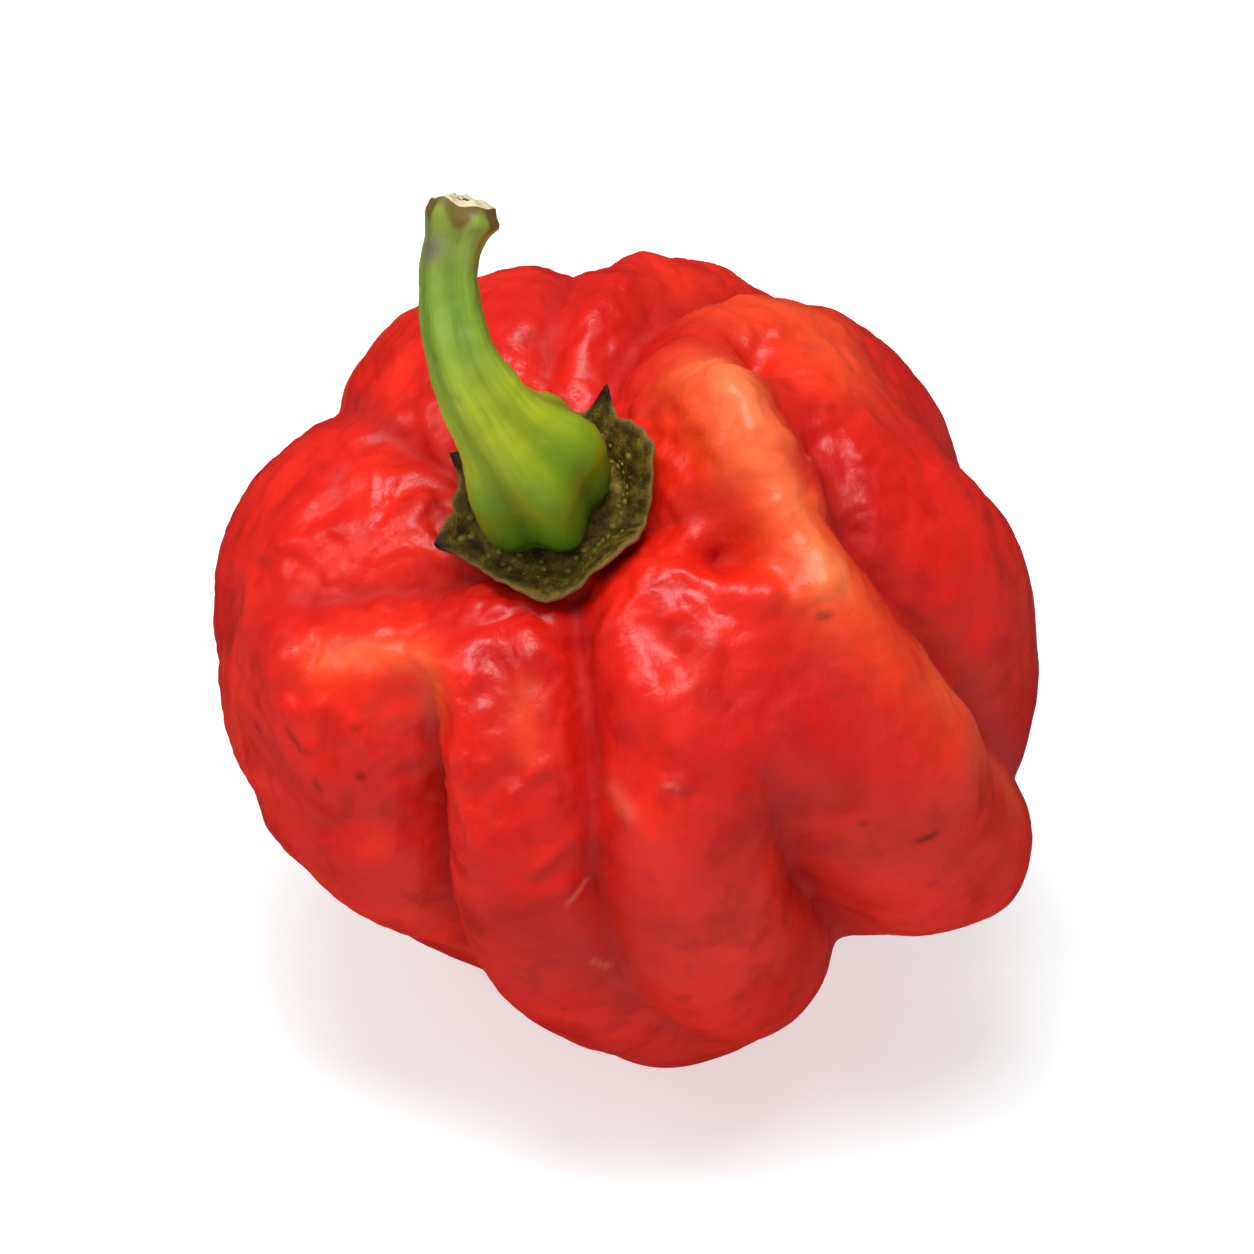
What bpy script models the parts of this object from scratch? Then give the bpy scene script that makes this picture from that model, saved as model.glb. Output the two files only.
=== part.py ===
"""A Scotch bonnet chilli, as picked: the lobed fruit, its dish-shaped calyx and its bent stem.

Run it with: blender --background --python part.py
Metres, +Z up. The fruit is first shaped upright in its own frame, in millimetres: its axis runs
up through the calyx, longitude 0 is its front and +90 its right, latitude 90 is the calyx.
It is then leaned over and set down on three of its lobes, with the floor at z = 0.
"""

import math

import bmesh
import bpy
import numpy as np
from mathutils import Matrix, Vector

MM = 0.001

# Driving sizes of the fruit, in millimetres.
FRUIT_WIDTH = 47.2
FRUIT_LENGTH = 42.4
SHOULDER_ROUNDNESS = 2.25  # 2 is an ellipsoid, more is squarer at the shoulders
CALYX_DIMPLE_DEPTH = 3.0
CALYX_DIMPLE_REACH = 8.0
BLOSSOM_DIMPLE_DEPTH = 4.5
BLOSSOM_DIMPLE_REACH = 6.0
CUBE_CUTS = 25  # each side of the cube that is blown up to the fruit has this many cuts

# How the fruit lies: degrees that its axis leans to the front and to the left.
LEAN_FRONT = 22.6
LEAN_LEFT = 13.8

# The furrows between the lobes. Each path runs from the calyx towards the blossom end as
# (longitude, latitude) in degrees, with the depth at each of its points in millimetres.
# "tip" is the radius that rounds the furrow's bottom.
FURROWS = {
    "front": {
        "path": [(6, 77), (3, 64), (0, 46), (-5, 24), (-5, 6), (-1, -20), (4, -52)],
        "depth": [1.4, 3.0, 3.0, 2.6, 2.0, 2.2, 1.0],
        "width": 2.4,
        "tip": 0.7,
    },
    "front_left": {
        "path": [(-44, 58), (-41, 50), (-38, 37), (-37, 26), (-35, 12), (-34, -12), (-32, -28), (-28, -52)],
        "depth": [0.0, 1.6, 4.2, 4.8, 4.8, 4.6, 3.0, 1.0],
        "width": 2.4,
        "tip": 0.8,
    },
    "left": {
        "path": [(-56, 76), (-68, 66), (-79, 53), (-87, 38), (-92, 18), (-92, -10), (-88, -45)],
        "depth": [1.4, 2.3, 2.0, 0.8, 0.6, 2.0, 1.4],
        "width": 2.4,
        "tip": 1.0,
    },
    "back_left": {
        "path": [(-120, 76), (-127, 62), (-133, 42), (-136, 15), (-138, -15), (-136, -52)],
        "depth": [1.4, 2.2, 2.2, 2.4, 2.6, 1.2],
        "width": 2.6,
        "tip": 0.8,
    },
    "back": {
        "path": [(180, 76), (179, 60), (176, 44), (173, 22), (176, -12), (178, -50)],
        "depth": [1.0, 1.9, 2.2, 2.6, 2.8, 1.2],
        "width": 2.2,
        "tip": 0.7,
    },
    "back_right": {
        "path": [(150, 76), (154, 60), (151, 42), (145, 26), (142, 4), (140, -28)],
        "depth": [1.0, 2.2, 2.6, 2.6, 1.6, 0.0],
        "width": 2.2,
        "tip": 0.7,
    },
    "right": {
        "path": [(112, 54), (96, 49), (81, 44), (72, 33), (67, 18), (64, 3), (66, -16), (70, -48)],
        "depth": [0.0, 1.6, 2.4, 2.8, 3.2, 3.0, 2.0, 1.2],
        "width": 2.6,
        "tip": 1.4,
    },
    "front_right": {
        "path": [(31, 40), (29, 30), (27, 19), (27, 6), (29, -12), (31, -28), (33, -52)],
        "depth": [0.0, 1.2, 3.2, 4.8, 5.6, 4.4, 1.0],
        "width": 2.8,
        "tip": 1.1,
    },
    "right_shoulder": {
        "path": [(62, 75), (71, 68), (80, 60)],
        "depth": [1.2, 1.1, 0.0],
        "width": 1.3,
        "tip": 0.6,
    },
    "shoulder_dent": {
        "path": [(58, 67), (61, 61), (63, 54)],
        "depth": [0.4, 2.4, 0.4],
        "width": 1.5,
        "tip": 0.9,
    },
    "front_left_lobe": {
        "path": [(-22, 68), (-20, 56), (-18, 44), (-20, 34)],
        "depth": [0.0, 0.9, 0.8, 0.0],
        "width": 1.4,
        "tip": 0.8,
    },
    "far_right": {
        "path": [(112, 20), (110, 0), (108, -24), (108, -52)],
        "depth": [0.0, 2.0, 2.6, 1.2],
        "width": 2.8,
        "tip": 1.0,
    },
}

# Soft folds: raised along their path, or sunk where the height is negative, with their reach
# to each side. A path of one place is a round swelling or dent. Millimetres and degrees.
FOLDS = {
    "front lobe foot": {"path": [(8, 4), (8, -14)], "height": 0.6, "reach": 7.0},
    "front lobe crest": {"path": [(14, 66), (14, 48), (12, 30)], "height": 0.8, "reach": 4.5},
    "left flank": {"path": [(-98, 34)], "height": 0.8, "reach": 9.0},
    "right flank": {"path": [(84, 16)], "height": 0.8, "reach": 7.0},
    "upper right hollow": {"path": [(113, 24), (108, 16)], "height": -1.5, "reach": 4.5},
    "back top": {"path": [(165, 45)], "height": 0.8, "reach": 6.0},
    "back left top": {"path": [(-150, 40)], "height": 0.2, "reach": 6.0},
    "front right corner": {"path": [(50, 8), (50, -10)], "height": 2.6, "reach": 7.5},
    "front right corner tip": {"path": [(60, -14), (54, -18)], "height": 1.1, "reach": 4.5},
    "front right crest": {"path": [(100, 62), (84, 56), (68, 47), (58, 34), (52, 20)], "height": 1.5, "reach": 3.6},
    "pocket beside the notch": {"path": [(36, 16)], "height": -1.3, "reach": 3.0},
    "left lobe underside": {"path": [(-42, -24), (-56, -14), (-70, -12)], "height": -3.8, "reach": 7.5},
    "left lobe belly": {"path": [(-72, 46), (-62, 36), (-50, 32)], "height": 0.9, "reach": 4.5},
    "left lobe fold": {"path": [(-64, 25), (-50, 27), (-38, 30)], "height": -0.9, "reach": 2.2},
    "left lobe dent": {"path": [(-45, 48), (-44, 38)], "height": -1.0, "reach": 3.5},
    "upper left dent": {"path": [(-100, 56)], "height": -0.5, "reach": 3.0},
    "back right dent": {"path": [(124, 48)], "height": -1.1, "reach": 3.0},
    "back right top": {"path": [(104, 60), (96, 56)], "height": 0.7, "reach": 4.5},
    "shoulder swelling": {"path": [(118, 64), (102, 65), (88, 63)], "height": 1.2, "reach": 3.0},
    "shoulder ridge": {"path": [(40, 68), (50, 62), (56, 52)], "height": 0.7, "reach": 2.4},
    "front left crest": {"path": [(-30, 54), (-26, 40), (-20, 26)], "height": 0.6, "reach": 3.2},
}

# The three lobes that the fruit stands on: places on the floor, in millimetres from the
# point under the fruit's middle, and the size of the small flat that the skin makes there.
FEET = {
    "front": (3.0, -6.5),
    "left": (-7.5, 4.5),
    "right": (7.5, 3.0),
}
FOOT_FLAT = 2.2
FOOT_REACH = 8.5
DRAWN_DOWN_BELOW = 6.0  # skin higher than this is drawn down less, and from twice this not at all
FLOOR_CLEARANCE = 0.5  # between the feet, millimetres

# The calyx: a shallow dish that follows the dimple, with its thin rim lifted off the skin and
# drawn out to teeth. Millimetres and degrees.
GAP = 0.3  # between the fruit, the calyx and the stem
CALYX_THICKNESS = 0.8
CALYX_RIM_THICKNESS = 0.4
CALYX_COLATITUDE = 16.4  # how far its edge reaches down the shoulder, degrees
CALYX_TEETH = {
    # longitude: (how much further the tooth reaches, how far its tip lifts, half its width in degrees)
    -8: (2.4, 0.1, 30),
    -76: (4.2, 0.7, 18),
    -126: (3.2, 0.9, 16),
    146: (4.2, 1.1, 14),
    100: (0.6, 0.2, 26),
    -168: (1.4, 0.3, 22),
    46: (0.8, 0.2, 26),
}
TOOTH_SHARPNESS = 1.6  # 1 is a straight-sided tooth, more has hollow sides
TOOTH_CURL_FROM = 0.75  # share of the way to the rim where the teeth start to lift
RIM_LIFT = 0.8
RIM_LIFT_FROM = 0.62
CALYX_RING_SHARES = (0.15, 0.35, 0.55, 0.65, 0.75, 0.83, 0.9, 0.96, 1.0)  # of the way to the rim
CALYX_SIDES = 60
CALYX_SEAT = 3.9  # radius of the flat that carries the stem
CALYX_SEAT_RISE = 0.3
CALYX_SEAT_SLOPE = 1.0  # width of the slope round the flat

# The stem, in millimetres from the middle of the calyx, in the set-down object's directions.
# Its foot stands a little to the left of the middle, on the slope of the seat.
STEM_ROUTE = [
    (-0.5, 0.0, -0.12),
    (-1.4, -2.0, 4.5),
    (-3.3, -2.0, 7.6),
    (-5.0, -0.8, 10.7),
    (-5.7, 1.8, 14.1),
    (-4.9, 4.1, 17.6),
]
STEM_RADII = {
    # share of the way to the tip: radius
    0.0: 3.5,
    0.08: 3.75,
    0.18: 3.75,
    0.26: 3.45,
    0.33: 2.95,
    0.4: 2.6,
    0.5: 2.3,
    0.6: 2.0,
    0.7: 1.8,
    0.8: 1.65,
    0.9: 1.7,
    0.96: 2.0,
    1.0: 1.9,
}
STEM_RIDGES = 5
STEM_RIDGE_HEIGHT = 0.06  # share of the stem's radius
STEM_SIDES = 30
STEM_RINGS = 28
STEM_PITH_DEPTH = 0.5


def clear_scene():
    for obj in list(bpy.data.objects):
        bpy.data.objects.remove(obj)


def material(name, colour, roughness):
    made = bpy.data.materials.new(name)
    made.use_nodes = True
    shader = made.node_tree.nodes["Principled BSDF"]
    shader.inputs["Base Color"].default_value = (*colour, 1.0)
    shader.inputs["Roughness"].default_value = roughness
    shader.inputs["Metallic"].default_value = 0.0
    return made


def directions(longitude, latitude):
    """Unit vectors of the fruit's own frame for places in degrees."""
    lon, lat = np.radians(longitude), np.radians(latitude)
    return np.stack([np.cos(lat) * np.sin(lon), -np.cos(lat) * np.cos(lon), np.sin(lat)], axis=-1)


def smooth_step(t):
    t = np.clip(t, 0.0, 1.0)
    return t * t * (3.0 - 2.0 * t)


def body_radius(d):
    """The lobeless fruit: how far its skin is from its middle along each direction."""
    across = np.hypot(d[:, 0], d[:, 1]) / (FRUIT_WIDTH / 2)
    along = np.abs(d[:, 2]) / (FRUIT_LENGTH / 2)
    power = SHOULDER_ROUNDNESS
    return (across**power + along**power) ** (-1.0 / power)


def to_path(d, path):
    """How far each direction is from a path, in millimetres, and where along it, in its own steps."""
    corners = directions(*np.array(path, float).T)
    nearest = np.linalg.norm(d - corners[0], axis=1)
    along = np.zeros(len(d))
    for step, (start, end) in enumerate(zip(corners, corners[1:])):
        run = end - start
        t = np.clip((d - start) @ run / (run @ run), 0.0, 1.0)
        apart = np.linalg.norm(d - start - t[:, None] * run, axis=1)
        along = np.where(apart < nearest, step + t, along)
        nearest = np.minimum(nearest, apart)
    return nearest * FRUIT_WIDTH / 2, along


def furrow_depth(d, furrow):
    """How deep one furrow is at each direction: rounded at its path and steep beside it."""
    apart, along = to_path(d, furrow["path"])
    depth = np.interp(along, range(len(furrow["depth"])), furrow["depth"])
    rounded = np.hypot(apart, furrow["tip"]) - furrow["tip"]
    return depth * np.exp(-rounded / furrow["width"])


def fold_height(d, fold):
    apart, _ = to_path(d, fold["path"])
    return fold["height"] * np.exp(-((apart / fold["reach"]) ** 2))


def fruit_skin(d):
    """Points on the fruit's skin in its own frame, for unit directions."""
    radius = body_radius(d)
    for furrow in FURROWS.values():
        radius = radius - furrow_depth(d, furrow)
    for fold in FOLDS.values():
        radius = radius + fold_height(d, fold)
    skin = d * radius[:, None]
    across = np.hypot(skin[:, 0], skin[:, 1])
    top = CALYX_DIMPLE_DEPTH * np.exp(-((across / CALYX_DIMPLE_REACH) ** 2))
    bottom = BLOSSOM_DIMPLE_DEPTH * np.exp(-((across / BLOSSOM_DIMPLE_REACH) ** 2))
    skin[:, 2] += np.where(d[:, 2] > 0, -top, bottom)
    return skin


def lean():
    """Turns the upright fruit to how it lies."""
    front = Matrix.Rotation(math.radians(LEAN_FRONT), 3, "X")
    left = Matrix.Rotation(math.radians(-LEAN_LEFT), 3, "Y")
    return np.array(left @ front)


def set_down(points, lift):
    """Leans points of the fruit's own frame over and lifts them to where the fruit stands."""
    return points @ lean().T + (0.0, 0.0, lift)


def stand_on_feet(points):
    """Draws the three lowest lobes down to the floor, each with a small flat."""
    x, y, z = points.T
    below = smooth_step(2.0 - z / DRAWN_DOWN_BELOW)
    for foot_x, foot_y in FEET.values():
        apart = np.hypot(x - foot_x, y - foot_y)
        pull = below * smooth_step((FOOT_REACH - apart) / (FOOT_REACH - FOOT_FLAT))
        z = z * (1.0 - pull)
    return np.stack([x, y, z], axis=1)


def fruit_lift():
    """The height of the fruit's middle that holds its skin just clear of the floor."""
    lon, lat = np.meshgrid(np.arange(-180.0, 180.0, 4.0), np.arange(-88.0, 89.0, 4.0))
    skin = fruit_skin(directions(lon.ravel(), lat.ravel()))
    return FLOOR_CLEARANCE - float((skin @ lean().T)[:, 2].min())


def new_object(name, bm, look):
    bmesh.ops.recalc_face_normals(bm, faces=bm.faces)
    mesh = bpy.data.meshes.new(name)
    bm.to_mesh(mesh)
    bm.free()
    mesh.materials.append(look)
    mesh.shade_smooth()
    obj = bpy.data.objects.new(name, mesh)
    bpy.context.scene.collection.objects.link(obj)
    return obj


def make_fruit(lift):
    """A cube, cut into a grid and blown up to the fruit's skin."""
    bm = bmesh.new()
    bmesh.ops.create_cube(bm, size=2.0)
    bmesh.ops.subdivide_edges(bm, edges=bm.edges[:], cuts=CUBE_CUTS, use_grid_fill=True)
    on_cube = np.array([v.co for v in bm.verts])
    even = np.tan(on_cube * math.pi / 4)  # equal angles between the grid's lines
    d = even / np.linalg.norm(even, axis=1)[:, None]
    points = stand_on_feet(set_down(fruit_skin(d), lift)) * MM
    for vertex, point in zip(bm.verts, points):
        vertex.co = point
    return new_object("fruit", bm, material("fruit_skin", (0.72, 0.02, 0.01), 0.3))


def join_rings(bm, rings):
    """Joins a stack of vertex rings into one skin, open at both ends."""
    for lower, upper in zip(rings, rings[1:]):
        for i in range(len(lower)):
            j = (i + 1) % len(lower)
            bm.faces.new((lower[i], lower[j], upper[j], upper[i]))


def cap_ring(bm, ring, centre):
    middle = bm.verts.new(centre)
    for i in range(len(ring)):
        bm.faces.new((ring[i], ring[(i + 1) % len(ring)], middle))


def calyx_edge(longitude):
    """The colatitude of the calyx's edge and how far it lifts there, for longitudes in degrees."""
    reach = np.full(len(longitude), CALYX_COLATITUDE)
    raised = np.zeros(len(longitude))
    for tooth, (further, tip_lift, half_width) in CALYX_TEETH.items():
        apart = np.abs((longitude - tooth + 180.0) % 360.0 - 180.0)
        shape = np.clip(1.0 - apart / half_width, 0.0, 1.0) ** TOOTH_SHARPNESS
        reach = reach + further * shape
        raised = raised + tip_lift * shape
    return reach, raised


def calyx_seat_height():
    """The top of the flat that the stem stands on, along the fruit's own axis."""
    pole = fruit_skin(np.array([[0.0, 0.0, 1.0]]))[0, 2]
    return pole + GAP + CALYX_THICKNESS + CALYX_SEAT_RISE


def share_beyond(share, start):
    """Runs smoothly from 0 at the start share to 1 at the rim."""
    return smooth_step((share - start) / (1.0 - start))


def make_calyx(lift):
    """A thin dish that follows the skin under it and lifts to its rim and teeth."""
    bm = bmesh.new()
    longitude = np.arange(CALYX_SIDES) * 360.0 / CALYX_SIDES
    reach, raised = calyx_edge(longitude)
    seat = calyx_seat_height()

    def ring(share, upper):
        """One ring of vertices of the upper or lower face, this share of the way to the rim."""
        outer = share_beyond(share, RIM_LIFT_FROM)
        skin = fruit_skin(directions(longitude, 90.0 - share * reach))
        skin[:, 2] += GAP + RIM_LIFT * outer + raised * share_beyond(share, TOOTH_CURL_FROM)
        if upper:
            skin[:, 2] += CALYX_THICKNESS + (CALYX_RIM_THICKNESS - CALYX_THICKNESS) * outer
            across = np.hypot(skin[:, 0], skin[:, 1])
            on_seat = smooth_step((CALYX_SEAT + CALYX_SEAT_SLOPE - across) / CALYX_SEAT_SLOPE)
            skin[:, 2] = skin[:, 2] * (1.0 - on_seat) + seat * on_seat
        return [bm.verts.new(p) for p in set_down(skin, lift) * MM]

    def centre(height):
        return Vector(set_down(np.array([[0.0, 0.0, height]]), lift)[0] * MM)

    under = [ring(share, upper=False) for share in CALYX_RING_SHARES]
    over = [ring(share, upper=True) for share in reversed(CALYX_RING_SHARES)]
    join_rings(bm, under + over)
    pole = fruit_skin(np.array([[0.0, 0.0, 1.0]]))[0, 2]
    cap_ring(bm, under[0], centre(pole + GAP))
    cap_ring(bm, over[-1], centre(seat))
    return new_object("calyx", bm, material("calyx_skin", (0.12, 0.13, 0.02), 0.6))


def spline_point(points, t):
    """A point on the smooth curve through the given points, for t from 0 to 1."""
    at = min(t * (len(points) - 1), len(points) - 1.000001)
    i = int(at)
    u = at - i
    p0 = points[i - 1] if i > 0 else points[0] * 2 - points[1]
    p1, p2 = points[i], points[i + 1]
    p3 = points[i + 2] if i + 2 < len(points) else p2 * 2 - p1
    return 0.5 * (2 * p1 + (p2 - p0) * u + (2 * p0 - 5 * p1 + 4 * p2 - p3) * u**2 + (3 * p1 - p0 - 3 * p2 + p3) * u**3)


def make_stem(lift):
    """A ridged stalk swept along its bent route, from a swollen foot to a flared, cut tip."""
    axis = Vector(lean() @ np.array([0.0, 0.0, 1.0]))
    middle = Vector(set_down(np.array([[0.0, 0.0, calyx_seat_height() + GAP]]), lift)[0])
    route = [middle + Vector(p) for p in STEM_ROUTE]
    stations = [i / (STEM_RINGS - 1) for i in range(STEM_RINGS)]
    bm = bmesh.new()
    rings = []
    side = axis.orthogonal().normalized()
    for t in stations:
        here = spline_point(route, t)
        ahead = (spline_point(route, min(t + 0.01, 1.0)) - spline_point(route, max(t - 0.01, 0.0))).normalized()
        if t == 0.0:
            ahead = axis
        side = (side - ahead * side.dot(ahead)).normalized()
        other = ahead.cross(side)
        radius = float(np.interp(t, list(STEM_RADII), list(STEM_RADII.values())))
        ring = []
        for k in range(STEM_SIDES):
            angle = 2 * math.pi * k / STEM_SIDES
            ridged = radius * (1.0 + STEM_RIDGE_HEIGHT * math.cos(STEM_RIDGES * angle))
            ring.append(bm.verts.new((here + (side * math.cos(angle) + other * math.sin(angle)) * ridged) * MM))
        rings.append(ring)
    join_rings(bm, rings)
    cap_ring(bm, rings[0], route[0] * MM)
    cap_ring(bm, rings[-1], (route[-1] - ahead * STEM_PITH_DEPTH) * MM)
    return new_object("stem", bm, material("stem_skin", (0.24, 0.33, 0.03), 0.5))


def centre_over_origin(objects):
    """Moves the pepper sideways, so that the middle of its box stands over the origin."""
    corners = np.array([vertex.co for obj in objects for vertex in obj.data.vertices])
    middle = (corners.min(axis=0) + corners.max(axis=0)) / 2
    for obj in objects:
        obj.data.transform(Matrix.Translation((-middle[0], -middle[1], 0.0)))


def main():
    clear_scene()
    lift = fruit_lift()
    centre_over_origin([make_fruit(lift), make_calyx(lift), make_stem(lift)])


if __name__ == "__main__":
    main()
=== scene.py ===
import math
import bmesh
import bpy
import numpy as np
from mathutils import Matrix, Vector


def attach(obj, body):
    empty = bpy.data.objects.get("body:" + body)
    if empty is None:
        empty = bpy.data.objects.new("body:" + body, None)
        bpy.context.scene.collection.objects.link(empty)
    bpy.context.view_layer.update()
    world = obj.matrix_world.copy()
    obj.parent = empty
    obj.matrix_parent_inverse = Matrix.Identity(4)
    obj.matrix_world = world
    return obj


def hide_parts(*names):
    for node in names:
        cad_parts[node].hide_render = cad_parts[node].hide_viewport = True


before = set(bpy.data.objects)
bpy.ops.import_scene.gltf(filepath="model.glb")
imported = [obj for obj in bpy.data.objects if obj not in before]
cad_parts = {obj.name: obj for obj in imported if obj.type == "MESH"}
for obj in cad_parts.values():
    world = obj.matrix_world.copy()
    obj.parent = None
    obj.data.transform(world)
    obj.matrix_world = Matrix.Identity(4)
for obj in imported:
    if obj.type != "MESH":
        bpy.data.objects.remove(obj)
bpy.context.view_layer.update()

# A ripe Scotch bonnet chilli resting on three of its lobes: the fruit, its calyx and its stalk.
# Shapes are worked out in millimetres and turned to metres when their mesh is made.
# The fruit has an upright frame of its own: longitude 0 is its front, +90 its right,
# latitude 90 its calyx. A path there is a list of (longitude, latitude) in degrees.
mm = 0.001


def hexToLinear(code):
    channels = [int(code[i:i + 2], 16) / 255 for i in (1, 3, 5)]
    linear = [c / 12.92 if c <= 0.04045 else ((c + 0.055) / 1.055) ** 2.4 for c in channels]
    return (*linear, 1.0)


def fillInputs(tree, node, inputs):
    # each input is a value, or another node's output to link
    for name, value in inputs.items():
        if isinstance(value, bpy.types.NodeSocket):
            tree.links.new(value, node.inputs[name])
        else:
            node.inputs[name].default_value = value


def addNode(tree, kind, settings=None, inputs=None):
    node = tree.nodes.new(kind)
    for name, value in (settings or {}).items():
        setattr(node, name, value)
    fillInputs(tree, node, inputs or {})
    return node


def addRamp(tree, value, stops):
    # colours between (position, hex code) stops
    ramp = addNode(tree, "ShaderNodeValToRGB", {}, {"Fac": value})
    elements = ramp.color_ramp.elements
    elements[0].position, elements[1].position = stops[0][0], stops[-1][0]
    elements[0].color, elements[1].color = hexToLinear(stops[0][1]), hexToLinear(stops[-1][1])
    for at, code in stops[1:-1]:
        elements.new(at).color = hexToLinear(code)
    return ramp.outputs["Color"]


def calculate(tree, operation, *values, clamp=False):
    settings = {"operation": operation, "use_clamp": clamp}
    return addNode(tree, "ShaderNodeMath", settings, dict(enumerate(values))).outputs[0]


def scaled(tree, vector, scale):
    inputs = {0: vector, "Scale": scale}
    return addNode(tree, "ShaderNodeVectorMath", {"operation": "SCALE"}, inputs).outputs[0]


def addNoise(tree, where, scale, detail=2.0, roughness=0.5, distortion=0.0):
    return addNode(tree, "ShaderNodeTexNoise", {}, {
        "Vector": where, "Scale": scale, "Detail": detail, "Roughness": roughness, "Distortion": distortion,
    }).outputs["Fac"]


def mapRange(tree, value, old, new, smooth=False):
    # old and new are pairs: what lies between the first becomes what lies between the second
    settings = {"interpolation_type": "SMOOTHSTEP" if smooth else "LINEAR"}
    return addNode(tree, "ShaderNodeMapRange", settings, {
        "Value": value, "From Min": old[0], "From Max": old[1], "To Min": new[0], "To Max": new[1],
    }).outputs[0]


def paintOver(tree, share, under, code):
    # lays this share of the coded colour over the one under it
    return addNode(tree, "ShaderNodeMix", {"data_type": "RGBA"}, {
        "Factor": share, 6: under, 7: hexToLinear(code),
    }).outputs[2]


def addBump(tree, height, strength, distance):
    inputs = {"Height": height, "Strength": strength, "Distance": distance}
    return addNode(tree, "ShaderNodeBump", {}, inputs).outputs[0]


def markInShader(tree, name):
    return addNode(tree, "ShaderNodeAttribute", {"attribute_name": name}).outputs["Fac"]


def markInGeometry(tree, name):
    settings = {"data_type": "FLOAT"}
    return addNode(tree, "GeometryNodeInputNamedAttribute", settings, {"Name": name}).outputs[0]


def onPiece(tree):
    # the place of each point of the piece, in metres
    return addNode(tree, "ShaderNodeTexCoord").outputs["Object"]


def newMaterial(name):
    material = bpy.data.materials.new(name)
    material.use_nodes = True
    tree = material.node_tree
    return material, tree, tree.nodes["Principled BSDF"]


def smoothStep(t):
    t = np.clip(t, 0.0, 1.0)
    return t * t * (3.0 - 2.0 * t)


def rise(value, start, end):
    # 0 up to the start, 1 from the end on
    return smoothStep((value - start) / (end - start))


def setMarks(mesh, marks):
    # one number for each vertex, which nodes read by name
    for name, values in marks.items():
        stored = mesh.attributes.new(name, "FLOAT", "POINT")
        stored.data.foreach_set("value", np.asarray(values, np.float32))


def newPiece(name, vertices, faces, marks, edges=()):
    # vertices in metres
    mesh = bpy.data.meshes.new(name)
    mesh.from_pydata(vertices, edges, faces)
    mesh.shade_smooth()
    setMarks(mesh, marks)
    obj = bpy.data.objects.new(name, mesh)
    bpy.context.scene.collection.objects.link(obj)
    return obj


def newGeometryTree(name, sizes):
    # an empty tree from geometry to geometry, with a named input for each size
    tree = bpy.data.node_groups.new(name, "GeometryNodeTree")
    tree.interface.new_socket("Geometry", in_out="INPUT", socket_type="NodeSocketGeometry")
    for label, value in sizes.items():
        kind = "NodeSocketInt" if isinstance(value, int) else "NodeSocketFloat"
        tree.interface.new_socket(label, in_out="INPUT", socket_type=kind).default_value = value
    tree.interface.new_socket("Geometry", in_out="OUTPUT", socket_type="NodeSocketGeometry")
    return tree, addNode(tree, "NodeGroupInput").outputs


def pushOut(tree, geometry, height):
    # moves each vertex this far along its normal
    offset = scaled(tree, addNode(tree, "GeometryNodeInputNormal").outputs[0], height)
    return addNode(tree, "GeometryNodeSetPosition", {}, {"Geometry": geometry, "Offset": offset}).outputs[0]


def endTree(tree, geometry, material):
    realized = addNode(tree, "GeometryNodeRealizeInstances", {}, {"Geometry": geometry}).outputs[0]
    coloured = addNode(tree, "GeometryNodeSetMaterial", {}, {"Geometry": realized, "Material": material})
    addNode(tree, "NodeGroupOutput", {}, {"Geometry": coloured.outputs[0]})


def runTree(obj, tree, sizes):
    # sets the modifier's inputs by their identifiers, then keeps its result as a plain mesh
    modifier = obj.modifiers.new(tree.name, "NODES")
    modifier.node_group = tree
    for item in tree.interface.items_tree:
        if item.in_out == "INPUT" and item.name in sizes:
            modifier[item.identifier] = sizes[item.name]
    evaluated = obj.evaluated_get(bpy.context.evaluated_depsgraph_get())
    made = bpy.data.meshes.new_from_object(evaluated)
    obj.modifiers.remove(modifier)
    obj.data = made


def finishPiece(obj, slot, *nodes):
    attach(obj, "root")
    if nodes:
        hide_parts(*nodes)


# The fruit's form

fruitForm = {
    "width": 47.2,
    "length": 42.4,
    "shoulder": 2.25,  # 2 is an ellipsoid, more is squarer at the shoulders
    "calyxDimple": (3.0, 8.0),  # depth and reach
    "blossomDimple": (4.5, 6.0),
    "leanFront": 22.6,  # degrees that the axis leans over
    "leanLeft": 13.8,
    "feet": ((3.0, -6.5), (-7.5, 4.5), (7.5, 3.0)),
    "footFlat": 2.2,  # radius of each flat, and how far round it the skin is drawn down
    "footReach": 8.5,
    "drawnDownBelow": 6.0,  # fully up to this height, and not at all from twice it
    "floorClearance": 0.5,  # before the feet are drawn down
    "cells": 128,  # along each side of the cube that is blown up to the fruit
}

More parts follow.
